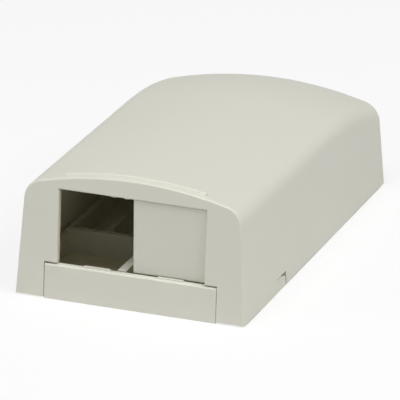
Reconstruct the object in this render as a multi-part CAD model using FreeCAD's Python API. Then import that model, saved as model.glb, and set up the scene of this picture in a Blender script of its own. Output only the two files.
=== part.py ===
import FreeCAD, Part
import math
import os

# Surface mount jack box, two ports, with a blank in the right-hand port.
# All sizes are in millimetres. X runs across the box, the ports face -Y, and Z is up.
# The origin is on the underside of the base, under the middle of the box.

# Outer form of the cover
COVER_WIDTH = 46.5
COVER_LENGTH = 81.8
COVER_HEIGHT = 25.6
WALL_LEAN_DEG = 3.8
CROWN_RADIUS = 77.6
SHOULDER_RADIUS = 4.0
RIDGE_FALL_DEG = 0.96
REAR_CURVE_RADIUS = 87.0
REAR_CURVE_RUN = 28.8
FRONT_EDGE_RADIUS = 0.35
REAR_EDGE_RADIUS = 1.0
COVER_FOOT_GAP = 0.25

# Cover walls
FRONT_WALL = 1.3
SIDE_WALL = 1.7
REAR_WALL = 1.7
TOP_WALL = 1.7

# Ports and the opening in the cover's front wall
PORT_PITCH = 14.9
PORT_COUNT = 2
LINTEL_HEIGHT = 3.66
WINDOW_RIM_RADIUS = 0.3
LINTEL_LEDGE_DEPTH = 1.4
LINTEL_NUB_XS = (-3.9, -1.2)
LINTEL_NUB_WIDTH = 0.9
LINTEL_NUB_DROP = 0.15
LINTEL_NUB_SET_BACK = 0.3

# Low lip moulded on top of the cover behind its front edge
LIP_WIDTH = 28.4
LIP_START = 0.35
LIP_RUN = 1.7
LIP_RISE = 0.35
LIP_ROOT_DEPTH = 0.05
LIP_BEAD_RADIUS = 0.4
LIP_BEAD_RISE = 0.15

# Pry notch in the foot of each side wall of the cover
PRY_SET_BACK = 20.7
PRY_LENGTH = 5.6
PRY_TOP_Z = 2.82

# Catch nose on each side rail of the base and its pocket in the cover
CATCH_NOSE_LENGTH = 4.0
CATCH_NOSE_LOW_Z = 4.4
CATCH_NOSE_HIGH_Z = 6.2
CATCH_NOSE_REACH = 0.15
CATCH_POCKET_DEPTH = 0.6
CATCH_POCKET_PLAY = 0.4

# Break-out for a cable in the foot of the cover's rear wall
BREAKOUT_WIDTH = 12.0
BREAKOUT_HEIGHT = 9.0
BREAKOUT_GROOVE = 0.7
BREAKOUT_SKIN = 0.5

# Base
FLOOR_THICKNESS = 2.0
BASE_FIT_GAP = 0.25
RAIL_THICKNESS = 1.2
RAIL_TOP_Z = 6.4
RAIL_EDGE_RADIUS = 0.3
REAR_NOTCH_DEPTH = 2.9
STRIP_WIDTH = 34.8
STRIP_HEIGHT = 6.97
STRIP_THICKNESS = 1.6
STRIP_FOOT_THICKNESS = 2.0
STRIP_SIDE_GAP = 0.1
STRIP_TOP_GAP = 0.22
STRIP_TOP_RADIUS = 0.45
STRIP_SIDE_RADIUS = 0.1
TAB_WIDTH = 5.2
TAB_SHIFT = 0.35
TAB_RISE = 0.15
TAB_ROOT = 0.45
TAB_THICKNESS = 0.75
TAB_OVERHANG = 0.2
LUG_FACE_INSET = 0.15
LUG_END_GAP = 0.15
LUG_TOP_GAP = 0.25
LUG_BEVEL_LENGTH = 2.4
LUG_BEVEL_DROP = 0.7

# Inside the base
REST_RIB_SPREAD = 4.8
REST_RIB_WIDTH = 1.65
REST_RIB_SET_OFF = 0.7
REST_RIB_TOP_Z = 6.9
STOP_WALL_SET_BACK = 18.9
STOP_WALL_THICKNESS = 1.2
STOP_WALL_TOP_Z = 6.95
GUIDE_RIB_SPREAD = 25.4
GUIDE_RIB_SET_OFF = 3.2
GUIDE_RIB_WIDTH = 1.2
GUIDE_RIB_LENGTH = 8.0
GUIDE_RIB_TOP_Z = 6.6
TIE_ANCHOR_SPREAD = 18.0
TIE_ANCHOR_TO_FEED = 14.5
TIE_ANCHOR_WIDTH = 6.0
TIE_ANCHOR_LENGTH = 4.0
TIE_ANCHOR_HEIGHT = 4.0
TIE_SLOT_WIDTH = 3.4
TIE_SLOT_HEIGHT = 1.7

# Screw holes and cable feed in the floor
SCREW_SPACING = 46.0
REAR_SCREW_SET_IN = 9.3
SCREW_HOLE_RADIUS = 2.0
SCREW_BOSS_RADIUS = 4.2
SCREW_BOSS_HEIGHT = 1.0
SCREW_SINK_RADIUS = 3.5
SCREW_SINK_DEPTH = 1.4
FEED_WIDTH = 17.0
FEED_LENGTH = 15.0
FEED_SET_IN = 25.4
FEED_CORNER_RADIUS = 2.5

# Foam tape pads under the base, each with its release liner
PAD_WIDTH = 9.0
PAD_END_MARGIN = 8.0
PAD_THICKNESS = 0.7
PAD_SIDE_MARGIN = 2.3
LINER_THICKNESS = 0.1
PAD_RECESS_MARGIN = 0.5

# Blank insert
BLANK_PORT = 1
BLANK_SIDE_GAP = 0.1
BLANK_BOTTOM_GAP = 0.06
BLANK_TOP_GAP = 0.12
BLANK_GROOVE_SIDE_GAP = 0.2
BLANK_GROOVE_TOP_GAP = 0.08
BLANK_SET_BACK = 1.9
BLANK_FACE_THICKNESS = 1.4
BLANK_DEPTH = 9.5
BLANK_WALL = 1.1
BLANK_EDGE_RADIUS = 0.1
BLANK_LATCH_WIDTH = 6.4
BLANK_LATCH_SLIT = 0.8
BLANK_LATCH_DROP = 0.7
BLANK_NOSE_RISE = 0.6
BLANK_NOSE_LENGTH = 1.8
BLANK_NOSE_SET_BACK = 0.35

# Values worked out from the sizes above
V = FreeCAD.Vector
LEAN = math.tan(math.radians(WALL_LEAN_DEG))
SQUARE = math.cos(math.radians(WALL_LEAN_DEG))
FRONT_FOOT_Y = -COVER_LENGTH / 2
REAR_FOOT_Y = COVER_LENGTH / 2
REAR_CURVE_START_Y = REAR_FOOT_Y - REAR_CURVE_RUN
WINDOW_WIDTH = PORT_PITCH * PORT_COUNT
WINDOW_TOP_Z = COVER_HEIGHT - LINTEL_HEIGHT
SLOT_WIDTH = STRIP_WIDTH + 2 * STRIP_SIDE_GAP
SLOT_TOP_Z = STRIP_HEIGHT + STRIP_TOP_GAP
PRY_CENTRE_Y = FRONT_FOOT_Y + PRY_SET_BACK
PRY_FRONT_Y = PRY_CENTRE_Y - PRY_LENGTH / 2
PRY_REAR_Y = PRY_CENTRE_Y + PRY_LENGTH / 2
STRIP_REAR_Y = FRONT_FOOT_Y + STRIP_THICKNESS
TAB_REAR_Y = STRIP_REAR_Y + TAB_OVERHANG
TAB_TOP_Z = STRIP_HEIGHT + TAB_RISE
STOP_WALL_Y = FRONT_FOOT_Y + STOP_WALL_SET_BACK
REAR_SCREW_Y = REAR_FOOT_Y - REAR_SCREW_SET_IN
FEED_MIDDLE_Y = REAR_FOOT_Y - FEED_SET_IN
TIE_ANCHOR_Y = FEED_MIDDLE_Y - TIE_ANCHOR_TO_FEED
BLANK_FACE_Y = FRONT_FOOT_Y + BLANK_SET_BACK
BASE_SIDE_IN = SIDE_WALL + BASE_FIT_GAP
BASE_FRONT_IN = FRONT_WALL + BASE_FIT_GAP
BASE_REAR_IN = REAR_WALL + BASE_FIT_GAP
PAD_MIDDLE_X = (COVER_WIDTH - PAD_WIDTH) / 2 - BASE_SIDE_IN / SQUARE - PAD_SIDE_MARGIN
PAD_FRONT_Y = FRONT_FOOT_Y + BASE_FRONT_IN / SQUARE + PAD_END_MARGIN
PAD_REAR_Y = REAR_FOOT_Y - BASE_REAR_IN / SQUARE - PAD_END_MARGIN
BEYOND = 5.0
TOUCH = 0.001


def port_x(index):
    """Middle of a port across the box; ports are counted from the left."""
    return (index - (PORT_COUNT - 1) / 2) * PORT_PITCH


def box(x_low, x_high, y_low, y_high, z_low, z_high):
    """Plain block between two corners."""
    return Part.makeBox(x_high - x_low, y_high - y_low, z_high - z_low, V(x_low, y_low, z_low))


def centred_box(x, width, y_low, y_high, z_low, z_high):
    """Block whose middle across the box is at x."""
    return box(x - width / 2, x + width / 2, y_low, y_high, z_low, z_high)


def front_y(z, depth=0.0):
    """Place of the leaning front face at height z, or of a face a given depth behind it."""
    return FRONT_FOOT_Y + depth / SQUARE + z * LEAN


def rear_y(z, depth=0.0):
    """Place of the leaning rear face at height z, or of a face a given depth inside it."""
    return REAR_FOOT_Y - depth / SQUARE - z * LEAN


def side_x(z, depth=0.0):
    """Half width of the box at height z, or of a face a given depth inside the side."""
    return COVER_WIDTH / 2 - depth / SQUARE - z * LEAN


def leaning_block(side_in, front_in, rear_in, low, high):
    """Block whose four walls lean in as they rise; each inset is square to its wall."""
    rings = []
    for z in (low, high):
        half = side_x(z, side_in)
        front = front_y(z, front_in)
        rear = rear_y(z, rear_in)
        rings.append([V(-half, front, z), V(half, front, z), V(half, rear, z), V(-half, rear, z)])
    lower, upper = rings
    loops = [lower[::-1], upper]
    for i in range(4):
        j = (i + 1) % 4
        loops.append([lower[i], lower[j], upper[j], upper[i]])
    faces = [Part.Face(Part.makePolygon(loop + loop[:1])) for loop in loops]
    return Part.Solid(Part.Shell(faces))


def under_crown(drop):
    """Everything below the crowned top, lowered by drop: an arc across the box that runs
    back along a gently falling ridge and then turns down on a larger arc."""
    fall = math.radians(RIDGE_FALL_DEG)
    along = V(0, math.cos(fall), -math.sin(fall))
    normal = V(0, math.sin(fall), math.cos(fall))
    start_z = COVER_HEIGHT - (REAR_CURVE_START_Y - FRONT_FOOT_Y) * math.tan(fall)
    start = V(0, REAR_CURVE_START_Y, start_z)
    half = COVER_WIDTH / 2 + BEYOND
    radius = CROWN_RADIUS - drop
    edge_level = math.sqrt(radius ** 2 - half ** 2) - CROWN_RADIUS
    bottom_level = -(COVER_HEIGHT + BEYOND)

    def point(x, level):
        return start + V(x, 0, 0) + normal * level

    left = point(-half, edge_level)
    top = point(0, -drop)
    right = point(half, edge_level)
    low_right = point(half, bottom_level)
    low_left = point(-half, bottom_level)
    arc = Part.Arc(left, top, right).toShape()
    sides = Part.makePolygon([right, low_right, low_left, left])
    section = Part.Face(Part.Wire([arc] + sides.Edges))
    straight = section.extrude(along * -(REAR_CURVE_START_Y - FRONT_FOOT_Y + BEYOND))
    centre = start - normal * REAR_CURVE_RADIUS
    reach = REAR_FOOT_Y + BEYOND - REAR_CURVE_START_Y
    turn = math.degrees(math.atan2(reach, REAR_CURVE_RADIUS - COVER_HEIGHT))
    curved = section.revolve(centre, V(-1, 0, 0), turn)
    return straight.fuse(curved).removeSplitter()


def edges_where(shape, test):
    """Edges whose middle point and direction pass the test."""
    found = []
    for edge in shape.Edges:
        middle = (edge.FirstParameter + edge.LastParameter) / 2
        if test(edge, edge.valueAt(middle), edge.tangentAt(middle)):
            found.append(edge)
    return found


def on_front_face(edge):
    """True for an edge that lies in the leaning front face of the box."""
    return all(abs(v.Point.y - front_y(v.Point.z)) < TOUCH for v in edge.Vertexes)


def on_rear_face(edge):
    """True for an edge that lies in the leaning rear face of the box."""
    return all(abs(v.Point.y - rear_y(v.Point.z)) < TOUCH for v in edge.Vertexes)


def round_shoulders(shape, radius):
    """Rounds the long edges between the crowned top and the two side walls."""
    long_edges = edges_where(
        shape,
        lambda edge, at, way: at.z > COVER_HEIGHT / 2 and abs(way.y) > 0.9,
    )
    return shape.makeFillet(radius, long_edges)


def outer_form():
    """Outside of the cover with its rounded shoulders, front edge and rear edge."""
    block = leaning_block(0, 0, 0, COVER_FOOT_GAP, COVER_HEIGHT + BEYOND)
    form = round_shoulders(block.common(under_crown(0)), SHOULDER_RADIUS)
    above_foot = COVER_FOOT_GAP + TOUCH
    front = edges_where(form, lambda edge, at, way: on_front_face(edge) and at.z > above_foot)
    form = form.makeFillet(FRONT_EDGE_RADIUS, front)
    rear = edges_where(form, lambda edge, at, way: on_rear_face(edge) and at.z > above_foot)
    return form.makeFillet(REAR_EDGE_RADIUS, rear)


def cavity():
    """Space inside the cover's walls, open below."""
    block = leaning_block(SIDE_WALL, FRONT_WALL, REAR_WALL, -BEYOND, COVER_HEIGHT + BEYOND)
    return round_shoulders(block.common(under_crown(TOP_WALL)), SHOULDER_RADIUS - SIDE_WALL)


def top_lip():
    """Low wedge on the top: it rises from just behind the front edge to a round bead and stops.
    Its upright profile is turned about the crown's own centre line, so it follows the crown."""
    fall = math.radians(RIDGE_FALL_DEG)
    along = V(0, math.cos(fall), -math.sin(fall))
    normal = V(0, math.sin(fall), math.cos(fall))
    start_y = front_y(COVER_HEIGHT, LIP_START)
    start = V(0, start_y, COVER_HEIGHT - (start_y - FRONT_FOOT_Y) * math.tan(fall))
    slope = (LIP_RISE + LIP_ROOT_DEPTH) / LIP_RUN

    def point(run, rise):
        return start + along * run + normal * rise

    bead_run = LIP_RUN - LIP_BEAD_RADIUS
    bead_rise = LIP_RISE + LIP_BEAD_RISE - LIP_BEAD_RADIUS
    below = bead_run * slope - LIP_ROOT_DEPTH - bead_rise
    square = 1 + slope ** 2
    back = (slope * below + math.sqrt(square * LIP_BEAD_RADIUS ** 2 - below ** 2)) / square
    meeting_run = bead_run - back
    meeting = point(meeting_run, meeting_run * slope - LIP_ROOT_DEPTH)
    crest_top = point(bead_run, bead_rise + LIP_BEAD_RADIUS)
    crest_rear = point(LIP_RUN, bead_rise)
    root = point(0, -LIP_ROOT_DEPTH)
    far_foot = point(LIP_RUN, -TOP_WALL / 2)
    near_foot = point(0, -TOP_WALL / 2)
    bead = Part.Arc(meeting, crest_top, crest_rear).toShape()
    sides = Part.makePolygon([crest_rear, far_foot, near_foot, root, meeting])
    profile = Part.Face(Part.Wire([bead] + sides.Edges))
    centre = start - normal * CROWN_RADIUS
    half_turn = math.degrees(math.asin(LIP_WIDTH / 2 / CROWN_RADIUS))
    profile.rotate(centre, along, -half_turn)
    return profile.revolve(centre, along, 2 * half_turn)


def front_opening():
    """Window for the ports and, below it, the wider slot that the base's strip fills."""
    wall_back = front_y(WINDOW_TOP_Z, FRONT_WALL + BEYOND)
    front = FRONT_FOOT_Y - BEYOND
    window = centred_box(0, WINDOW_WIDTH, front, wall_back, 0, WINDOW_TOP_Z)
    slot = centred_box(0, SLOT_WIDTH, front, wall_back, -BEYOND, SLOT_TOP_Z)
    return window.fuse(slot).removeSplitter()


def lintel_ledge():
    """Thicker edge of the front wall above the window, which a module's latch holds on to."""
    low = front_y(WINDOW_TOP_Z, FRONT_WALL / 2)
    high = front_y(WINDOW_TOP_Z, FRONT_WALL + LINTEL_LEDGE_DEPTH)
    bar = centred_box(0, WINDOW_WIDTH, low, high, WINDOW_TOP_Z, COVER_HEIGHT)
    return bar.common(under_crown(TOP_WALL / 2))


def lintel_nubs():
    """Small nubs under the lintel at the open port."""
    nubs = []
    for x in LINTEL_NUB_XS:
        near = front_y(WINDOW_TOP_Z, LINTEL_NUB_SET_BACK)
        far = front_y(WINDOW_TOP_Z, FRONT_WALL)
        low = WINDOW_TOP_Z - LINTEL_NUB_DROP
        high = WINDOW_TOP_Z + LINTEL_NUB_DROP
        nubs.append(centred_box(x, LINTEL_NUB_WIDTH, near, far, low, high))
    return nubs


def pry_notches():
    """Notch through the foot of each side wall."""
    return box(-COVER_WIDTH, COVER_WIDTH, PRY_FRONT_Y, PRY_REAR_Y, -BEYOND, PRY_TOP_Z)


def catch_pockets():
    """Shallow pockets inside the side walls for the base's catches."""
    pockets = []
    half = CATCH_NOSE_LENGTH / 2 + CATCH_POCKET_PLAY
    low = CATCH_NOSE_LOW_Z - CATCH_POCKET_PLAY
    high = CATCH_NOSE_HIGH_Z + CATCH_POCKET_PLAY
    for side in (-1, 1):
        depth = SIDE_WALL - CATCH_POCKET_DEPTH
        x_out = side * side_x(high, depth)
        x_in = side * (side_x(high, SIDE_WALL) - CATCH_POCKET_DEPTH)
        x_low = min(x_out, x_in)
        x_high = max(x_out, x_in)
        pockets.append(box(x_low, x_high, PRY_CENTRE_Y - half, PRY_CENTRE_Y + half, low, high))
    return pockets


def breakout_groove():
    """Groove inside the rear wall round a panel that breaks out for a cable."""
    half = BREAKOUT_WIDTH / 2
    low = COVER_FOOT_GAP - BEYOND
    shell = leaning_block(SIDE_WALL, FRONT_WALL, BREAKOUT_SKIN, low, BREAKOUT_HEIGHT)
    near = rear_y(BREAKOUT_HEIGHT, REAR_WALL) - BREAKOUT_GROOVE
    left = box(-half, -half + BREAKOUT_GROOVE, near, REAR_FOOT_Y, low, BREAKOUT_HEIGHT)
    right = box(half - BREAKOUT_GROOVE, half, near, REAR_FOOT_Y, low, BREAKOUT_HEIGHT)
    top_low = BREAKOUT_HEIGHT - BREAKOUT_GROOVE
    top = box(-half, half, near, REAR_FOOT_Y, top_low, BREAKOUT_HEIGHT)
    return shell.common(left.fuse([right, top]))


def make_cover():
    """One moulded shell, open below, with the port window in its front wall."""
    cover = outer_form().cut(cavity())
    cover = cover.fuse(lintel_ledge())
    cover = cover.cut(front_opening())
    rim = edges_where(
        cover,
        lambda edge, at, way: on_front_face(edge)
        and abs(at.x) < SLOT_WIDTH / 2 + 0.01
        and SLOT_TOP_Z - TOUCH < at.z < WINDOW_TOP_Z + TOUCH,
    )
    cover = cover.makeFillet(WINDOW_RIM_RADIUS, rim)
    cover = cover.cut(pry_notches())
    cover = cover.cut(catch_pockets() + [breakout_groove()])
    return cover.fuse([top_lip()] + lintel_nubs()).removeSplitter()


def strip():
    """Front wall of the base, flush with the cover's front face; its foot joins the floor."""
    form = leaning_block(0, 0, 0, 0, STRIP_HEIGHT)
    wall = form.common(centred_box(0, STRIP_WIDTH, front_y(-BEYOND), STRIP_REAR_Y, 0, STRIP_HEIGHT))
    top = edges_where(wall, lambda edge, at, way: on_front_face(edge) and at.z > STRIP_HEIGHT - TOUCH)
    wall = wall.makeFillet(STRIP_TOP_RADIUS, top)
    sides = edges_where(
        wall,
        lambda edge, at, way: on_front_face(edge) and abs(way.z) > 0.9,
    )
    wall = wall.makeFillet(STRIP_SIDE_RADIUS, sides)
    foot_near = STRIP_REAR_Y - STRIP_THICKNESS / 4
    foot_far = FRONT_FOOT_Y + STRIP_FOOT_THICKNESS
    return wall.fuse(centred_box(0, STRIP_WIDTH, foot_near, foot_far, 0, FLOOR_THICKNESS))


def strip_tabs():
    """Raised tab for each port on the rear edge of the strip; it hangs over a little behind."""
    tabs = []
    near = TAB_REAR_Y - TAB_THICKNESS
    low = STRIP_HEIGHT - TAB_ROOT
    for index in range(PORT_COUNT):
        x = port_x(index) + TAB_SHIFT
        tabs.append(centred_box(x, TAB_WIDTH, near, TAB_REAR_Y, low, TAB_TOP_Z))
    return tabs


def tray():
    """Floor with a low rail along both sides and the rear, inside the cover's walls."""
    outside = leaning_block(BASE_SIDE_IN, BASE_FRONT_IN, BASE_REAR_IN, 0, RAIL_TOP_Z)
    inside = leaning_block(
        BASE_SIDE_IN + RAIL_THICKNESS,
        -BEYOND,
        BASE_REAR_IN + RAIL_THICKNESS,
        FLOOR_THICKNESS,
        RAIL_TOP_Z + BEYOND,
    )
    rail = outside.cut(inside)
    top_edges = edges_where(
        rail,
        lambda edge, at, way: abs(at.z - RAIL_TOP_Z) < TOUCH and edge.Length > 2 * RAIL_THICKNESS,
    )
    rail = rail.makeFillet(RAIL_EDGE_RADIUS, top_edges)
    rear_notch = centred_box(
        0,
        BREAKOUT_WIDTH,
        rear_y(0, BASE_REAR_IN + 2 * RAIL_THICKNESS),
        REAR_FOOT_Y,
        RAIL_TOP_Z - REAR_NOTCH_DEPTH,
        RAIL_TOP_Z + BEYOND,
    )
    return rail.cut(rear_notch)


def side_lug(side):
    """Lug that fills the pry notch of one side; its rear top corner is bevelled for a blade."""
    low_y = PRY_FRONT_Y + LUG_END_GAP
    high_y = PRY_REAR_Y - LUG_END_GAP
    top = PRY_TOP_Z - LUG_TOP_GAP
    points = [
        V(0, low_y, 0),
        V(0, high_y, 0),
        V(0, high_y, top - LUG_BEVEL_DROP),
        V(0, high_y - LUG_BEVEL_LENGTH, top),
        V(0, low_y, top),
    ]
    profile = Part.Face(Part.makePolygon(points + points[:1]))
    bar = profile.extrude(V(side * COVER_WIDTH, 0, 0))
    inner = leaning_block(BASE_SIDE_IN + RAIL_THICKNESS / 2, 0, 0, -BEYOND, COVER_HEIGHT)
    return bar.common(leaning_block(LUG_FACE_INSET, 0, 0, 0, COVER_HEIGHT)).cut(inner)


def catch_nose(side):
    """Nose on the outside of a side rail, drawn as it stands when the walls are sprung apart."""
    low_y = PRY_CENTRE_Y - CATCH_NOSE_LENGTH / 2
    high_y = PRY_CENTRE_Y + CATCH_NOSE_LENGTH / 2
    outer = leaning_block(BASE_SIDE_IN - CATCH_NOSE_REACH, 0, 0, 0, COVER_HEIGHT)
    inner = leaning_block(BASE_SIDE_IN + RAIL_THICKNESS / 2, 0, 0, -BEYOND, COVER_HEIGHT)
    block = box(
        min(0, side * COVER_WIDTH),
        max(0, side * COVER_WIDTH),
        low_y,
        high_y,
        CATCH_NOSE_LOW_Z,
        CATCH_NOSE_HIGH_Z,
    )
    return block.common(outer).cut(inner)


def module_supports():
    """Pair of ribs under the inner edges of the modules, and the low wall from rail to rail
    that stops them behind."""
    low = FLOOR_THICKNESS / 2
    near = STRIP_REAR_Y + REST_RIB_SET_OFF
    far = STOP_WALL_Y + STOP_WALL_THICKNESS / 2
    pieces = []
    for side in (-1, 1):
        x = side * REST_RIB_SPREAD / 2
        pieces.append(centred_box(x, REST_RIB_WIDTH, near, far, low, REST_RIB_TOP_Z))
    stop_far = STOP_WALL_Y + STOP_WALL_THICKNESS
    across = centred_box(0, COVER_WIDTH, STOP_WALL_Y, stop_far, low, STOP_WALL_TOP_Z)
    into_rails = leaning_block(BASE_SIDE_IN + RAIL_THICKNESS / 2, 0, 0, 0, COVER_HEIGHT)
    pieces.append(across.common(into_rails))
    return pieces


def wire_guides():
    """Pair of ribs that stand behind the stop wall and keep the wires apart."""
    near = STOP_WALL_Y + STOP_WALL_THICKNESS + GUIDE_RIB_SET_OFF
    far = near + GUIDE_RIB_LENGTH
    low = FLOOR_THICKNESS / 2
    ribs = []
    for side in (-1, 1):
        x = side * GUIDE_RIB_SPREAD / 2
        ribs.append(centred_box(x, GUIDE_RIB_WIDTH, near, far, low, GUIDE_RIB_TOP_Z))
    return ribs


def tie_anchor(x):
    """Bridge on the floor that a cable tie passes under."""
    low_y = TIE_ANCHOR_Y - TIE_ANCHOR_LENGTH / 2
    high_y = TIE_ANCHOR_Y + TIE_ANCHOR_LENGTH / 2
    top = FLOOR_THICKNESS + TIE_ANCHOR_HEIGHT
    block = centred_box(x, TIE_ANCHOR_WIDTH, low_y, high_y, FLOOR_THICKNESS / 2, top)
    slot_top = FLOOR_THICKNESS + TIE_SLOT_HEIGHT
    slot = centred_box(x, TIE_SLOT_WIDTH, low_y - BEYOND, high_y + BEYOND, FLOOR_THICKNESS, slot_top)
    return block.cut(slot)


def screw_ys():
    """Places of the two screw holes along the box."""
    return (REAR_SCREW_Y - SCREW_SPACING, REAR_SCREW_Y)


def screw_boss(y):
    """Raised ring round a screw hole."""
    height = FLOOR_THICKNESS / 2 + SCREW_BOSS_HEIGHT
    return Part.makeCylinder(SCREW_BOSS_RADIUS, height, V(0, y, FLOOR_THICKNESS / 2))


def screw_hole(y):
    """Hole with a countersink from above."""
    top = FLOOR_THICKNESS + SCREW_BOSS_HEIGHT
    hole = Part.makeCylinder(SCREW_HOLE_RADIUS, top + 2 * BEYOND, V(0, y, -BEYOND))
    sink_low = top - SCREW_SINK_DEPTH
    sink = Part.makeCone(SCREW_HOLE_RADIUS, SCREW_SINK_RADIUS, SCREW_SINK_DEPTH, V(0, y, sink_low))
    return hole.fuse(sink)


def cable_feed():
    """Round-cornered opening in the floor for a cable that comes out of the wall."""
    low_y = FEED_MIDDLE_Y - FEED_LENGTH / 2
    high_y = FEED_MIDDLE_Y + FEED_LENGTH / 2
    hole = centred_box(0, FEED_WIDTH, low_y, high_y, -BEYOND, FLOOR_THICKNESS + BEYOND)
    corners = edges_where(hole, lambda edge, at, way: abs(way.z) > 0.9)
    return hole.makeFillet(FEED_CORNER_RADIUS, corners)


def pad_recess(side):
    """Shallow recess under the base for one tape pad."""
    width = PAD_WIDTH + 2 * PAD_RECESS_MARGIN
    near = PAD_FRONT_Y - PAD_RECESS_MARGIN
    far = PAD_REAR_Y + PAD_RECESS_MARGIN
    depth = PAD_THICKNESS + LINER_THICKNESS
    return centred_box(side * PAD_MIDDLE_X, width, near, far, -BEYOND, depth)


def make_base():
    """One moulding: floor, rails, front strip, module supports and cable fixings."""
    base = tray().fuse(strip())
    base = base.fuse(strip_tabs())
    added = [side_lug(-1), side_lug(1), catch_nose(-1), catch_nose(1)]
    added += module_supports() + wire_guides()
    added += [tie_anchor(-TIE_ANCHOR_SPREAD / 2), tie_anchor(TIE_ANCHOR_SPREAD / 2)]
    added += [screw_boss(y) for y in screw_ys()]
    base = base.fuse(added)
    removed = [screw_hole(y) for y in screw_ys()]
    removed += [cable_feed(), pad_recess(-1), pad_recess(1)]
    return base.cut(removed).removeSplitter()


def tape_pad(side):
    """Foam pad that fills one recess down to its liner."""
    low = LINER_THICKNESS
    high = low + PAD_THICKNESS
    return centred_box(side * PAD_MIDDLE_X, PAD_WIDTH, PAD_FRONT_Y, PAD_REAR_Y, low, high)


def tape_liner(side):
    """Release paper on the lower face of one pad."""
    return centred_box(side * PAD_MIDDLE_X, PAD_WIDTH, PAD_FRONT_Y, PAD_REAR_Y, 0, LINER_THICKNESS)


def make_blank():
    """Insert that closes one port: a face plate with a shallow box behind it and a latch."""
    middle = port_x(BLANK_PORT)
    width = PORT_PITCH - 2 * BLANK_SIDE_GAP
    low = STRIP_HEIGHT + BLANK_BOTTOM_GAP
    high = WINDOW_TOP_Z - BLANK_TOP_GAP
    rear = BLANK_FACE_Y + BLANK_DEPTH
    body = centred_box(middle, width, BLANK_FACE_Y, rear, low, high)
    face_edges = edges_where(body, lambda edge, at, way: abs(at.y - BLANK_FACE_Y) < TOUCH)
    body = body.makeFillet(BLANK_EDGE_RADIUS, face_edges)
    inner_front = BLANK_FACE_Y + BLANK_FACE_THICKNESS
    hollow = centred_box(
        middle,
        width - 2 * BLANK_WALL,
        inner_front,
        rear + BEYOND,
        low + BLANK_WALL,
        high - BLANK_WALL - BLANK_LATCH_DROP,
    )
    groove_width = TAB_WIDTH + 2 * BLANK_GROOVE_SIDE_GAP
    groove_top = TAB_TOP_Z + BLANK_GROOVE_TOP_GAP
    groove = centred_box(
        middle + TAB_SHIFT,
        groove_width,
        BLANK_FACE_Y - BEYOND,
        rear + BEYOND,
        low - BEYOND,
        groove_top,
    )
    body = body.cut([hollow, groove])
    slits = []
    for side in (-1, 1):
        x = middle + side * (BLANK_LATCH_WIDTH + BLANK_LATCH_SLIT) / 2
        slit_low = high - BLANK_WALL - 2 * BLANK_LATCH_DROP
        slits.append(centred_box(x, BLANK_LATCH_SLIT, inner_front, rear + BEYOND, slit_low, high + BEYOND))
    shave_low = high - BLANK_LATCH_DROP
    shave = centred_box(middle, BLANK_LATCH_WIDTH, inner_front, rear + BEYOND, shave_low, high + BEYOND)
    body = body.cut(slits + [shave])
    ledge_far = front_y(WINDOW_TOP_Z, FRONT_WALL + LINTEL_LEDGE_DEPTH)
    nose_near = ledge_far + BLANK_NOSE_SET_BACK
    nose_low = high - BLANK_LATCH_DROP
    points = [
        V(0, nose_near, nose_low - BLANK_WALL / 2),
        V(0, nose_near, nose_low + BLANK_NOSE_RISE),
        V(0, nose_near + BLANK_NOSE_LENGTH, nose_low),
        V(0, nose_near + BLANK_NOSE_LENGTH, nose_low - BLANK_WALL / 2),
    ]
    ramp = Part.Face(Part.makePolygon(points + points[:1]))
    nose = ramp.extrude(V(BLANK_LATCH_WIDTH, 0, 0))
    nose.translate(V(middle - BLANK_LATCH_WIDTH / 2, 0, 0))
    return body.fuse(nose).removeSplitter()


def save(name, shape):
    """Writes one solid to its STEP file and prints what it is."""
    solid = shape.Solids[0]
    solid.exportStep("parts/" + name + ".step")
    size = solid.BoundBox
    print(name, len(shape.Solids), "solid", round(solid.Volume, 1), "mm3", solid.isValid(),
          round(size.XLength, 2), round(size.YLength, 2), round(size.ZLength, 2))


os.makedirs("parts", exist_ok=True)
save("cover", make_cover())
save("base", make_base())
save("blank_insert", make_blank())
save("tape_pad_left", tape_pad(-1))
save("tape_pad_right", tape_pad(1))
save("tape_liner_left", tape_liner(-1))
save("tape_liner_right", tape_liner(1))
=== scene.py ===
# %% [markdown]
# # A surface mount jack box, dressed for its picture
# The object is a small off-white box of moulded plastic that stands on a desk or sticks to a wall.
# It has two ports in its front. The left one is open and the right one holds a blank.
# Its solids come ready made from the CAD model, so this lesson gives them their finish, their
# tape, a floor, light and a camera. Each step says what the real thing is before it is made.

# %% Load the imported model
import bpy
import math
import numpy as np
from mathutils import Matrix, Vector


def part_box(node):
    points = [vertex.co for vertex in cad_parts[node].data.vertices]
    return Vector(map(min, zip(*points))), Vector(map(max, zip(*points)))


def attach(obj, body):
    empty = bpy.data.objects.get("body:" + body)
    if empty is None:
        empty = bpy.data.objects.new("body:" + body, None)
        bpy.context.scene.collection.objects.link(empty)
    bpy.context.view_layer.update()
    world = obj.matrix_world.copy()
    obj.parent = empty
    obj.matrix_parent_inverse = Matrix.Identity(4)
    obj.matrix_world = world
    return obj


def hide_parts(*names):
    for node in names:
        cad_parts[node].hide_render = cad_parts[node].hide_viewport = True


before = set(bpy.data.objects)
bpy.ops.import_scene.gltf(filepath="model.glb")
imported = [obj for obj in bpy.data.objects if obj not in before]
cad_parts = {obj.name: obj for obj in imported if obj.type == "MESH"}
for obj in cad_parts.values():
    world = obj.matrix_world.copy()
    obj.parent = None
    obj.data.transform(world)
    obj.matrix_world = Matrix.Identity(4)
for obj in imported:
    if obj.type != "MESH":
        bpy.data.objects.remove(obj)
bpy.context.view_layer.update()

MM = 0.001
for name in sorted(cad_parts):
    low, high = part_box(name)
    print(name, "is", [round((b - a) / MM, 1) for a, b in zip(low, high)], "mm")

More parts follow.
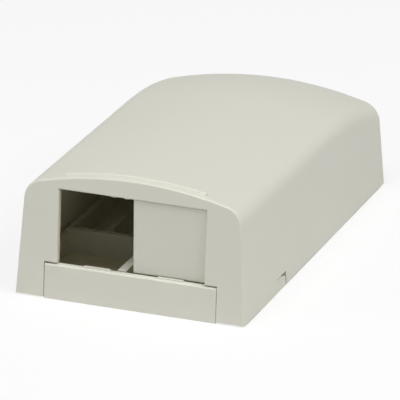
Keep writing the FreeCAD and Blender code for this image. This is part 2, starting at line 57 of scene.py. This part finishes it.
# %% [markdown]
# ## The camera
# The picture was taken from a long way off, from the right of the ports and a little above, so the
# long edges hardly draw together. A camera could be aimed by hand, but here three angles, a
# distance and a focal length say where it stands, and a last small turn puts the middle of the
# base on the pixel where the picture has it. Turning the camera is better than shifting its lens,
# because a lens shift would stay on in every other view.

# %% Place the camera
PICTURE_SIZE = 400
CAMERA_AZIMUTH = math.radians(20.288)
CAMERA_ELEVATION = math.radians(21.630)
CAMERA_ROLL = math.radians(0.610)
CAMERA_DISTANCE = 1.1577
FOCAL_PIXELS = 5930.9
BASE_MIDDLE_PIXEL = (204.74, 236.67)
SENSOR_WIDTH = 36
NEAREST_SEEN, FURTHEST_SEEN = 0.1, 10


def camera_directions():
    """Right, up and forward of the camera: first it looks at the origin from its azimuth and
    elevation with its roll, then it turns so that the origin falls on the wanted pixel."""
    flat = math.cos(CAMERA_ELEVATION)
    towards_camera = Vector((
        math.sin(CAMERA_AZIMUTH) * flat,
        -math.cos(CAMERA_AZIMUTH) * flat,
        math.sin(CAMERA_ELEVATION),
    ))
    level = Vector((math.cos(CAMERA_AZIMUTH), math.sin(CAMERA_AZIMUTH), 0))
    above = towards_camera.cross(level)
    right = level * math.cos(CAMERA_ROLL) + above * math.sin(CAMERA_ROLL)
    up = above * math.cos(CAMERA_ROLL) - level * math.sin(CAMERA_ROLL)
    across = (BASE_MIDDLE_PIXEL[0] - PICTURE_SIZE / 2) / FOCAL_PIXELS
    down = (BASE_MIDDLE_PIXEL[1] - PICTURE_SIZE / 2) / FOCAL_PIXELS
    forward = (-towards_camera - right * across + up * down).normalized()
    right = (right - forward * right.dot(forward)).normalized()
    return right, right.cross(forward), forward, towards_camera


right, up, forward, towards_camera = camera_directions()
camera = bpy.data.cameras.new("camera")
camera.sensor_width = SENSOR_WIDTH
camera.lens = FOCAL_PIXELS / PICTURE_SIZE * SENSOR_WIDTH
camera.clip_start = NEAREST_SEEN
camera.clip_end = FURTHEST_SEEN
camera_object = bpy.data.objects.new("camera", camera)
placing = Matrix((right, up, -forward)).transposed().to_4x4()
placing.translation = towards_camera * CAMERA_DISTANCE
camera_object.matrix_world = placing
bpy.context.scene.collection.objects.link(camera_object)
bpy.context.scene.camera = camera_object
print("camera stands", round(CAMERA_DISTANCE, 2), "m off with a", round(camera.lens), "mm lens")

# %% [markdown]
# ## Small helpers for node trees
# A material is a graph of nodes. Written out in full, each node takes several lines, which hides
# the idea. A few helpers keep a graph readable: one adds a node with its settings, one joins two
# sockets or sets one, and the rest make the few nodes that every finish here needs.

# %% Helpers for single nodes
def add(tree, kind, **settings):
    """Adds one node of that kind and sets its plain properties."""
    node = tree.nodes.new(kind)
    for key, value in settings.items():
        setattr(node, key, value)
    return node


def join(tree, source, target):
    """Joins an output socket to an input socket, or sets the input if source is a plain value."""
    if isinstance(source, bpy.types.NodeSocket):
        tree.links.new(source, target)
    else:
        target.default_value = source


def fill(tree, node, inputs):
    """Joins or sets several inputs of a node, each by its name; gives the node."""
    for label, source in inputs.items():
        join(tree, source, node.inputs[label])
    return node


def calc(tree, operation, first, second=0.0, third=0.0):
    """One step of arithmetic between sockets or numbers; gives the result's socket."""
    node = add(tree, "ShaderNodeMath", operation=operation)
    for value, socket in zip((first, second, third), node.inputs):
        join(tree, value, socket)
    return node.outputs[0]


def held(tree, value):
    """The value, held between 0 and 1."""
    return calc(tree, "MINIMUM", calc(tree, "MAXIMUM", value, 0.0), 1.0)


def vector_calc(tree, operation, first, second):
    """One step of arithmetic between two vectors; gives the node."""
    node = add(tree, "ShaderNodeVectorMath", operation=operation)
    join(tree, first, node.inputs[0])
    join(tree, second, node.inputs[1])
    return node


def noise(tree, where, scale, detail):
    """Soft noise of about 0 to 1. Scale is blobs per metre, and detail adds finer layers."""
    node = add(tree, "ShaderNodeTexNoise")
    return fill(tree, node, {"Vector": where, "Scale": scale, "Detail": detail}).outputs["Fac"]


def mix_colors(tree, share, first, second, blend_type="MIX"):
    """The first colour, mixed with the second or multiplied by it, by a share from 0 to 1."""
    node = add(tree, "ShaderNodeMix", data_type="RGBA", blend_type=blend_type)
    return fill(tree, node, {"Factor": share, "A": first, "B": second}).outputs["Result"]


def emboss(tree, shader, height, depth):
    """Leans the shader's normal as a relief would whose height runs from 0 to 1 over a depth."""
    relief = fill(tree, add(tree, "ShaderNodeBump"), {"Height": height, "Distance": depth})
    join(tree, relief.outputs["Normal"], shader.inputs["Normal"])


print("node helpers ready")

# %% [markdown]
# ## Shared groups and fresh materials
# A group is a graph with named inputs and outputs that several materials can share, each with its
# own values. It is built once, so a change to the mould's texture reaches every piece. These
# helpers open a group, put it into a material, start a material and put it on a CAD piece.

# %% Helpers for groups and materials
VECTOR = "NodeSocketVector"
FLOAT = "NodeSocketFloat"
COLOR = "NodeSocketColor"


def open_group(name, inputs, outputs):
    """A new shader group. Inputs are (name, socket kind, default) and outputs are (name, kind)."""
    group = bpy.data.node_groups.new(name, "ShaderNodeTree")
    for label, kind, default in inputs:
        socket = group.interface.new_socket(label, in_out="INPUT", socket_type=kind)
        if default is not None:
            socket.default_value = default
    for label, kind in outputs:
        group.interface.new_socket(label, in_out="OUTPUT", socket_type=kind)
    given = add(group, "NodeGroupInput").outputs
    return group, given, add(group, "NodeGroupOutput")


def place(tree, group, inputs):
    """Puts a shared group into a material with that material's own inputs."""
    return fill(tree, add(tree, "ShaderNodeGroup", node_tree=group), inputs)


def open_material(name):
    """A new material, with its tree, its Principled shader and its coordinates' outputs."""
    material = bpy.data.materials.new(name)
    material.use_nodes = True
    tree = material.node_tree
    on_piece = add(tree, "ShaderNodeTexCoord").outputs
    return material, tree, tree.nodes["Principled BSDF"], on_piece


def wear(node, material):
    """Gives a CAD node's mesh that one material."""
    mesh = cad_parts[node].data
    mesh.materials.clear()
    mesh.materials.append(material)
    print(node, "wears", material.name)


print("group and material helpers ready")

# %% [markdown]
# ## The spark texture of the mould
# The outside of such a box isn't polished. Its mould was cut by spark erosion, which leaves tiny
# round craters, about a third of a millimetre across and a hundredth deep. Sculpting them would
# take millions of faces. A height pattern read by a Bump node gives the same soft sheen, so a
# group works it out: cell distances give the craters, and a fine noise breaks them up.

# %% Group: spark texture
CRATER_SOFTNESS = 0.6
GRITS_PER_CRATER = 1.9
GRIT_DETAIL = 3.0


def spark_texture_group():
    """Height from 0 to 1: nearest-cell distance of a Voronoi pattern, mixed with fine noise."""
    group, given, result = open_group(
        "spark_texture",
        [("Place", VECTOR, None), ("Craters per metre", FLOAT, 3200.0), ("Fineness", FLOAT, 0.4)],
        [("Height", FLOAT), ("Speckle", FLOAT)],
    )
    where, density, fineness = (given[k] for k in ("Place", "Craters per metre", "Fineness"))
    cells = fill(group, add(group, "ShaderNodeTexVoronoi", feature="SMOOTH_F1"), {
        "Vector": where, "Scale": density, "Smoothness": CRATER_SOFTNESS})
    speckle = noise(group, where, calc(group, "MULTIPLY", density, GRITS_PER_CRATER), GRIT_DETAIL)
    coarseness = calc(group, "SUBTRACT", 1.0, fineness)
    crater = calc(group, "MULTIPLY", cells.outputs["Distance"], coarseness)
    grit = calc(group, "MULTIPLY", speckle, fineness)
    fill(group, result, {"Height": calc(group, "ADD", crater, grit), "Speckle": speckle})
    return group


spark_texture = spark_texture_group()
print("spark texture group has", len(spark_texture.nodes), "nodes")

# %% [markdown]
# ## The drift of tone in a moulding
# No moulding has one even colour. The plastic flows from the gate and cools at different speeds,
# so its tone drifts a little over centimetres, and it is a trace yellower where the wall is thick.
# A painted map could hold that, but it would need an unwrapped surface. A slow noise on the
# piece's own coordinates costs nothing and never shows a seam.

# %% Group: tone drift
DRIFT_DETAIL = 2.0
MOTTLES_PER_METRE = 900.0
MOTTLE_DETAIL = 4.0


def tone_drift_group():
    """Colour between two near tones, chosen by slow noise, with a faint fine mottle on top."""
    group, given, result = open_group(
        "tone_drift",
        [
            ("Place", VECTOR, None),
            ("Pale tone", COLOR, (0.6, 0.6, 0.55, 1.0)),
            ("Deep tone", COLOR, (0.57, 0.56, 0.5, 1.0)),
            ("Drifts per metre", FLOAT, 28.0),
            ("Mottle", FLOAT, 0.15),
        ],
        [("Color", COLOR)],
    )
    slow = noise(group, given["Place"], given["Drifts per metre"], DRIFT_DETAIL)
    fine = noise(group, given["Place"], MOTTLES_PER_METRE, MOTTLE_DETAIL)
    about_zero = calc(group, "SUBTRACT", fine, 0.5)
    mottle = calc(group, "MULTIPLY", about_zero, given["Mottle"])
    drift = calc(group, "ADD", slow, mottle)
    tone = mix_colors(group, drift, given["Pale tone"], given["Deep tone"])
    join(group, tone, result.inputs["Color"])
    return group


tone_drift = tone_drift_group()
print("tone drift group has", len(tone_drift.nodes), "nodes")

# %% [markdown]
# ## Marks of the ejector pins
# When the mould opens, steel pins push the part out and leave faint rings where they pressed,
# inside the cover and on the floor of the base. They could be cut into the solids, but they are
# only a few hundredths of a millimetre high. A group repeats one ring on a square pitch: the
# place is folded into one pitch, and the distance to the middle of that cell draws the ring.

# %% Group: pin marks
def pin_mark_group():
    """1 on thin rings of a given radius that repeat on a square pitch across X and Y, else 0."""
    group, given, result = open_group(
        "pin_marks",
        [
            ("Place", VECTOR, None),
            ("Pitch", FLOAT, 0.0135),
            ("Radius", FLOAT, 0.0022),
            ("Line", FLOAT, 0.00022),
        ],
        [("Ring", FLOAT)],
    )
    axes = fill(group, add(group, "ShaderNodeSeparateXYZ"), {"Vector": given["Place"]}).outputs
    squares = []
    for axis in ("X", "Y"):
        steps = calc(group, "DIVIDE", axes[axis], given["Pitch"])
        folded = calc(group, "SUBTRACT", steps, calc(group, "FLOOR", steps))
        about_zero = calc(group, "SUBTRACT", folded, 0.5)
        reach = calc(group, "MULTIPLY", about_zero, given["Pitch"])
        squares.append(calc(group, "MULTIPLY", reach, reach))
    distance = calc(group, "SQRT", calc(group, "ADD", squares[0], squares[1]))
    off = calc(group, "ABSOLUTE", calc(group, "SUBTRACT", distance, given["Radius"]))
    inside = calc(group, "SUBTRACT", 1.0, calc(group, "DIVIDE", off, given["Line"]))
    join(group, calc(group, "MAXIMUM", inside, 0.0), result.inputs["Ring"])
    return group


pin_marks = pin_mark_group()
print("pin mark group has", len(pin_marks.nodes), "nodes")

# %% [markdown]
# ## Inside or outside
# Only the outside of the mould was spark-eroded. Inside, the steel was left plain, so the inner
# faces are smoother. Their colour is also made a trace yellower and paler: painted bounce light,
# standing in for light that bounces there from plastic to plastic. The two could be split into
# separate materials face by face. Instead a group asks each point of the surface which way it
# faces: on the outside of a box the normal points away from its middle, and on the inside it points
# back towards it.

# %% Group: inner faces
INNER_RAMP = 500.0


def inner_face_group():
    """1 where the normal points towards the box's middle and 0 where it points away: minus the dot
    product of the normal and the place seen from the middle, times a ramp that is full at 2 mm."""
    group, given, result = open_group(
        "inner_faces",
        [("Place", VECTOR, None), ("Normal", VECTOR, None), ("Middle", VECTOR, (0.0, 0.0, 0.006))],
        [("Inner", FLOAT)],
    )
    from_middle = vector_calc(group, "SUBTRACT", given["Place"], given["Middle"]).outputs["Vector"]
    facing = vector_calc(group, "DOT_PRODUCT", from_middle, given["Normal"]).outputs["Value"]
    join(group, held(group, calc(group, "MULTIPLY", facing, -INNER_RAMP)), result.inputs["Inner"])
    return group


inner_faces = inner_face_group()
print("inner face group has", len(inner_faces.nodes), "nodes")

# %% [markdown]
# ## Front edges that catch the light
# Off-white ABS lets a little light through, and at a thin rounded edge it comes in from two sides.
# Here that light is painted: the edge's colour is made paler than the faces next to it, a painted
# highlight. Fingers that pull the cover off also polish it, so it is less rough there.
# A painted map could show that, but it would need an unwrapped surface. A group compares the
# normal with the way that a rounded front edge faces, forward and up, and gives a soft mask.

# %% Group: front edges
def front_edge_group():
    """1 where the normal points along the edge's own direction and 0 on the faces beside it: the
    dot product of the two, less a limit, stretched, and held between 0 and 1."""
    group, given, result = open_group(
        "front_edges",
        [
            ("Normal", VECTOR, None),
            ("Direction", VECTOR, (0.0, -0.707, 0.707)),
            ("Limit", FLOAT, 0.80),
            ("Stretch", FLOAT, 6.0),
        ],
        [("Edge", FLOAT)],
    )
    facing = vector_calc(group, "DOT_PRODUCT", given["Normal"], given["Direction"]).outputs["Value"]
    over = calc(group, "SUBTRACT", facing, given["Limit"])
    ramp = calc(group, "MULTIPLY", over, given["Stretch"])
    join(group, held(group, ramp), result.inputs["Edge"])
    return group


front_edges = front_edge_group()
print("front edge group has", len(front_edges.nodes), "nodes")

# %% [markdown]
# ## Moulded plastic for the cover, the base and the blank
# All three pieces are the same off-white ABS from different moulds, so one function makes their
# material and each piece gives its own numbers. The tone goes to the colour, the speckle of the
# spark texture varies the roughness, and one Bump node reads the craters and the pin rings.
# Inner faces get a yellower, slightly paler colour as painted bounce light, less of the craters,
# and the rings, where they lie level.
# Walls of 1.5 mm also let a little daylight through, so the closed box is never quite black
# inside. Following that light through the walls would be slow and grainy. An even glow of under
# half a percent, set as plain values on the shader, stands in for it. On the bright outside it
# can't be seen.

# %% Moulded plastic
# Painted bounce light: this factor makes the inner faces' colour paler and yellower.
INNER_PAINTED_BOUNCE = (1.07, 1.03, 0.90, 1)
INNER_POLISH = 0.08
INNER_CRATER_LOSS = 0.8
# Painted highlight: this factor makes the front edges' colour paler.
EDGE_PAINTED_HIGHLIGHT = (1.08, 1.08, 1.08, 1)
EDGE_POLISH = 0.18
SPECKLE_SPREAD = 0.16
LEVEL_LIMIT = 0.97
RING_HEIGHT = 2.0
PLASTIC_IOR = 1.5
WALL_GLOW = 0.004
WALL_GLOW_TINT = (1.0, 0.97, 0.76, 1)


def moulded_plastic(name, pale, deep, craters, crater_depth, roughness, ring_pitch):
    """Principled plastic. Its colour is the tone times painted bounce light on the inner faces and
    a painted highlight on the front edges. Its roughness spreads about its own value with the
    speckle and falls inside and at the edges. Its relief is the craters, shallower inside, plus the
    pins' rings on level inner faces."""
    material, tree, shader, on_piece = open_material(name)
    where, normal = on_piece["Object"], on_piece["Normal"]
    tone = place(tree, tone_drift, {"Place": where, "Pale tone": pale, "Deep tone": deep})
    spark = place(tree, spark_texture, {"Place": where, "Craters per metre": craters}).outputs
    rings = place(tree, pin_marks, {"Place": where, "Pitch": ring_pitch})
    inner = place(tree, inner_faces, {"Place": where, "Normal": normal}).outputs["Inner"]
    edge = place(tree, front_edges, {"Normal": normal}).outputs["Edge"]

    # Painted bounce light on the inner faces, then a painted highlight on the front edges.
    bounce_painted = mix_colors(tree, inner, tone.outputs["Color"], INNER_PAINTED_BOUNCE, "MULTIPLY")
    highlight_painted = mix_colors(tree, edge, bounce_painted, EDGE_PAINTED_HIGHLIGHT, "MULTIPLY")

    lowest = roughness - SPECKLE_SPREAD / 2
    rough = calc(tree, "MULTIPLY_ADD", spark["Speckle"], SPECKLE_SPREAD, lowest)
    rough = calc(tree, "SUBTRACT", rough, calc(tree, "MULTIPLY", inner, INNER_POLISH))
    rough = calc(tree, "SUBTRACT", rough, calc(tree, "MULTIPLY", edge, EDGE_POLISH))

    facing = fill(tree, add(tree, "ShaderNodeSeparateXYZ"), {"Vector": normal}).outputs
    level = calc(tree, "GREATER_THAN", calc(tree, "ABSOLUTE", facing["Z"]), LEVEL_LIMIT)
    ring = calc(tree, "MULTIPLY", calc(tree, "MULTIPLY", rings.outputs["Ring"], level), inner)
    kept = calc(tree, "SUBTRACT", 1.0, calc(tree, "MULTIPLY", inner, INNER_CRATER_LOSS))
    craters_here = calc(tree, "MULTIPLY", spark["Height"], kept)
    emboss(tree, shader, calc(tree, "MULTIPLY_ADD", ring, RING_HEIGHT, craters_here), crater_depth)

    fill(tree, shader, {
        "Base Color": highlight_painted,
        "Roughness": rough,
        "IOR": PLASTIC_IOR,
        "Emission Color": WALL_GLOW_TINT,
        "Emission Strength": WALL_GLOW,
    })
    return material


print("moulded plastic ready")

# %% [markdown]
# ## The three mouldings
# The cover is the palest and has the coarsest texture. The base comes from a mould with a slightly
# finer one. The blank is a small part from a smoother mould. Its tones are a shade darker, painted
# shade of the recess it sits in, so it stands out from the cover round it. Each row gives a piece
# its tones, craters, roughness and ejector pins.

# %% Dress the cover, the base and the blank
MOULDINGS = {
    # node: material, pale and deep tone,
    #       craters per metre, their depth in metres, roughness, pitch of the pins in metres
    "cover": ("cover_plastic", (0.622, 0.616, 0.545, 1), (0.606, 0.598, 0.524, 1),
              3200.0, 0.000012, 0.60, 0.0135),
    "base": ("base_plastic", (0.620, 0.614, 0.542, 1), (0.602, 0.594, 0.520, 1),
             3600.0, 0.000010, 0.59, 0.0117),
    # The blank's tones are a shade darker: painted shade of its recess.
    "blank_insert": ("blank_plastic", (0.605, 0.600, 0.530, 1), (0.592, 0.586, 0.514, 1),
                     4200.0, 0.000007, 0.58, 0.0042),
}
for node, finish in MOULDINGS.items():
    wear(node, moulded_plastic(*finish))

# %% [markdown]
# ## Foam tape under the base
# Two strips of closed-cell foam sit in shallow recesses under the base. They were cut from a sheet
# with a knife-edged die, which leaves the side a little hollow between two rounded rims, and
# opens the cells along the cut. A plain block would show neither. The strip is a closed surface:
# its outline, a rectangle with small corners, is carried up a short profile of insets and
# heights, and a waviness that dies away at the rims pits the cut side.

# %% A die-cut foam strip
# All lengths here are in metres.
STRIP_CORNER = 0.0006
CORNER_POINTS = 7
OUTLINE_STEP = 0.0004
RIM = 0.00012
SHOULDER_INSET, SHOULDER_HEIGHT = 0.3 * RIM, 0.1 * RIM
HOLLOW = 0.5 * RIM
SIDE_RINGS = 9
PIT_DEPTH = 0.00006
PIT_RARITY = 3


def rounded_outline(half_width, half_length):
    """Points round a rectangle with rounded corners, and the outward direction at each point. Each
    corner is a quarter circle, and the straight side after it runs to the next corner's start."""
    turns = np.linspace(0, math.pi / 2, CORNER_POINTS)
    corner_centre = np.array([half_width - STRIP_CORNER, half_length - STRIP_CORNER])
    quarters = np.array([(1, 1), (-1, 1), (-1, -1), (1, -1)])
    places, outwards = [], []
    for number, quarter in enumerate(quarters):
        angle = turns + number * math.pi / 2
        out = np.stack([np.cos(angle), np.sin(angle)], axis=1)
        bend = corner_centre * quarter + STRIP_CORNER * out
        next_start = corner_centre * quarters[(number + 1) % 4] + STRIP_CORNER * out[-1]
        count = max(2, int(np.linalg.norm(next_start - bend[-1]) / OUTLINE_STEP))
        along = np.linspace(0, 1, count + 1)[1:-1, None]
        places += [bend, bend[-1] * (1 - along) + next_start * along]
        outwards += [out, np.repeat(out[-1:], count - 1, axis=0)]
    return np.concatenate(places), np.concatenate(outwards)


def foam_strip(low, high, seed):
    """Closed strip between two corners. Each ring of the surface is the outline, moved in by an
    inset and set at a height. The insets round both rims, hollow the side and pit it."""
    low, high = np.array(low), np.array(high)
    middle, half = (low + high) / 2, (high - low) / 2
    tall = 2 * half[2]
    outline, outward = rounded_outline(half[0], half[1])
    share = np.linspace(0, 1, SIDE_RINGS)
    side_inset = np.concatenate([
        [RIM, SHOULDER_INSET], HOLLOW * np.sin(share * math.pi), [SHOULDER_INSET, RIM]])
    side_height = np.concatenate([
        [0, SHOULDER_HEIGHT], RIM + share * (tall - 2 * RIM), [tall - SHOULDER_HEIGHT, tall]])
    rings, points = len(side_inset), len(outline)
    draws = np.random.default_rng(seed)
    pits = draws.uniform(0, 1, (rings, points)) ** PIT_RARITY
    fade = np.sin(np.linspace(0, math.pi, rings))[:, None]
    inset = side_inset[:, None] + PIT_DEPTH * pits * fade
    flat = outline[None, :, :] - outward[None, :, :] * inset[:, :, None]
    height = np.broadcast_to(side_height[:, None, None], (rings, points, 1))
    vertices = np.concatenate([flat, height - half[2]], axis=2) + middle
    ring, point = np.meshgrid(np.arange(rings - 1), np.arange(points), indexing="ij")
    here, beside = ring * points + point, ring * points + (point + 1) % points
    quads = np.stack([here, beside, beside + points, here + points], axis=-1)
    lower_cap = np.arange(points)[::-1].tolist()
    upper_cap = ((rings - 1) * points + np.arange(points)).tolist()
    return vertices.reshape(-1, 3), quads.reshape(-1, 4).tolist() + [lower_cap, upper_cap]


def new_piece(name, vertices, faces, material):
    """Puts a computed surface into the scene as a mesh object at the origin."""
    mesh = bpy.data.meshes.new(name)
    mesh.from_pydata(vertices.tolist(), [], faces)
    mesh.materials.append(material)
    mesh.validate()
    mesh.update()
    piece = bpy.data.objects.new(name, mesh)
    bpy.context.scene.collection.objects.link(piece)
    return piece


print("foam strip functions ready")

# %% [markdown]
# ## Foam and its release film
# Closed-cell foam is white and dull, and its skin is covered in shallow cells about 0.3 mm wide.
# The film that guards the glue is thin, pale and waxed, with a faint lengthwise grain from the
# roller. Both are hidden on a standing box, but they show as soon as it is turned over. The
# plastic's own groups serve again with other values: a strong mottle and deep craters make foam,
# and a pattern drawn out along the strip makes the film.

# %% Foam and film materials
FOAM_TONES = {"Pale tone": (0.82, 0.82, 0.80, 1), "Deep tone": (0.72, 0.72, 0.69, 1), "Mottle": 1.4}
FOAM_CELLS = {"Craters per metre": 3000.0, "Fineness": 0.15}
FOAM_CELL_DEPTH = 0.00005
FOAM_ROUGHNESS, FOAM_ROUGHNESS_SPREAD = 0.78, 0.15
FILM_TONES = {"Pale tone": (0.56, 0.69, 0.61, 1), "Deep tone": (0.52, 0.65, 0.57, 1), "Mottle": 0.8}
FILM_GRAIN = {"Craters per metre": 2600.0, "Fineness": 0.8}
FILM_GRAIN_DEPTH = 0.000006
FILM_ROUGHNESS, FILM_ROUGHNESS_SPREAD = 0.22, 0.12
FILM_STRETCH = (1.0, 0.06, 1.0)


def tape_material(name, tones, texture, depth, roughness, spread, stretch=None):
    """Drifting tone, a relief of cells or grain, and a roughness that rises with the speckle. A
    stretch below 1 along an axis draws the whole pattern out along it."""
    material, tree, shader, on_piece = open_material(name)
    where = on_piece["Object"]
    if stretch:
        drawn_out = add(tree, "ShaderNodeMapping")
        where = fill(tree, drawn_out, {"Vector": where, "Scale": stretch}).outputs["Vector"]
    tone = place(tree, tone_drift, {"Place": where, **tones}).outputs["Color"]
    relief = place(tree, spark_texture, {"Place": where, **texture}).outputs
    emboss(tree, shader, relief["Height"], depth)
    rough = calc(tree, "MULTIPLY_ADD", relief["Speckle"], spread, roughness)
    fill(tree, shader, {"Base Color": tone, "Roughness": rough})
    return material


tape_foam = tape_material(
    "tape_foam", FOAM_TONES, FOAM_CELLS, FOAM_CELL_DEPTH, FOAM_ROUGHNESS, FOAM_ROUGHNESS_SPREAD)
release_film = tape_material(
    "release_film", FILM_TONES, FILM_GRAIN, FILM_GRAIN_DEPTH, FILM_ROUGHNESS,
    FILM_ROUGHNESS_SPREAD, FILM_STRETCH)
print("made", tape_foam.name, "and", release_film.name)

# %% [markdown]
# ## The strips take the pads' places
# In the CAD model each pad is a plain block. The die-cut strip is worked out between that block's
# own corners and replaces it, so it sits in the same recess, and it rides on the base. The film
# keeps its CAD shape, because a flat film has nothing to add.

# %% Put the tape on
STRIP_SEEDS = {"left": 7, "right": 11}
for side, seed in STRIP_SEEDS.items():
    low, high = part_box("tape_pad_" + side)
    vertices, faces = foam_strip(low, high, seed)
    strip = new_piece("foam_strip_" + side, vertices, faces, tape_foam)
    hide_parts("tape_pad_" + side)
    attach(strip, "root")
    wear("tape_liner_" + side, release_film)
    print(side, "foam strip has", len(vertices), "points")

# %% [markdown]
# ## Floor
# The box stands on a plain white sweep. To the camera the floor should be near white with only a
# faint shadow under the edges, while the box still needs the light that a real sheet of white
# paper throws back. So the floor is a pale diffuse sheet, and for the camera, mirrors and glass a
# share of plain white glow is mixed in. Under the box there is none, so that the floor stays dark
# where it is seen from inside, through the opening for the cables. The sheet lies a hair below
# the box, because two faces in one plane flicker.

# %% Floor
FLOOR_SIZE = 6.0
FLOOR_DROP = 0.05 * MM
GLOW_SHARE = 0.75
PAPER_WHITE = (0.86, 0.86, 0.86, 1)


def picture_rays(tree):
    """1 for rays that show the surroundings as a picture, straight to the camera, in a mirror or
    through glass, and 0 for rays that light the box."""
    rays = add(tree, "ShaderNodeLightPath").outputs
    seen = calc(tree, "MAXIMUM", rays["Is Camera Ray"], rays["Is Glossy Ray"])
    return calc(tree, "MAXIMUM", seen, rays["Is Transmission Ray"])


def floor_material():
    """Diffuse white, mixed with a white glow for the rays that make a picture, and only where the
    place is further out than the base along X or Y."""
    material, tree, shader, on_piece = open_material("white_sweep")
    tree.nodes.remove(shader)
    paper = fill(tree, add(tree, "ShaderNodeBsdfDiffuse"), {"Color": PAPER_WHITE})
    glow = fill(tree, add(tree, "ShaderNodeEmission"), {"Strength": 1.0})
    spot = fill(tree, add(tree, "ShaderNodeSeparateXYZ"), {"Vector": on_piece["Object"]}).outputs
    low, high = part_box("base")
    clear = 0.0
    for axis, reach in (("X", high[0]), ("Y", high[1])):
        past = calc(tree, "GREATER_THAN", calc(tree, "ABSOLUTE", spot[axis]), float(reach))
        clear = calc(tree, "MAXIMUM", past, clear)
    share = calc(tree, "MULTIPLY", picture_rays(tree), clear)
    mix = add(tree, "ShaderNodeMixShader")
    join(tree, calc(tree, "MULTIPLY", share, GLOW_SHARE), mix.inputs[0])
    join(tree, paper.outputs[0], mix.inputs[1])
    join(tree, glow.outputs[0], mix.inputs[2])
    join(tree, mix.outputs[0], tree.nodes["Material Output"].inputs["Surface"])
    return material


flat_corners = np.array([[-1, -1], [1, -1], [1, 1], [-1, 1]]) * FLOOR_SIZE / 2
floor_corners = np.column_stack([flat_corners, np.full(4, -FLOOR_DROP)])
floor = new_piece("floor", floor_corners, [[0, 1, 2, 3]], floor_material())
print("floor is", FLOOR_SIZE, "m wide")

# %% [markdown]
# ## Light
# The picture has hardly any shadow, its top is the palest face, and the open port is dark. That is
# the light of wide soft boxes: one overhead and a little towards the camera, which washes the top
# and reaches in over the ledge under the window, one above and to the right, which keeps the
# right shoulder bright, and a weaker one low on the left. The strengths are set so that a face
# turned to the light shows about its own colour.

# %% World and lamps
WORLD_STRENGTH = 0.03
LAMP_DISTANCE = 0.9
LAMP_SIZE = 0.5
LAMPS = {
    # name: direction seen from the box, watts
    "overhead": ((0.0, -0.34, 0.94), 4.35),
    "right": ((0.64, -0.15, 0.75), 4.8),
    "left": ((-0.75, -0.55, 0.37), 2.1),
}

world = bpy.data.worlds.new("studio")
bpy.context.scene.world = world
world.use_nodes = True
sky = world.node_tree
strength = calc(sky, "MULTIPLY_ADD", picture_rays(sky), 1.0 - WORLD_STRENGTH, WORLD_STRENGTH)
fill(sky, sky.nodes["Background"], {"Color": (1, 1, 1, 1), "Strength": strength})


def soft_lamp(name, direction, watts):
    """Square area lamp that looks at the box from a direction."""
    lamp = bpy.data.lights.new(name, "AREA")
    lamp.size = LAMP_SIZE
    lamp.energy = watts
    lamp_object = bpy.data.objects.new(name, lamp)
    towards = Vector(direction).normalized()
    lamp_object.location = towards * LAMP_DISTANCE
    lamp_object.rotation_euler = towards.to_track_quat("Z", "Y").to_euler()
    bpy.context.scene.collection.objects.link(lamp_object)
    print(name, "lamp gives", round(lamp.energy, 2), "W")


for lamp_name, (direction, watts) in LAMPS.items():
    soft_lamp(lamp_name, direction, watts)
bpy.context.scene.view_settings.view_transform = "Standard"
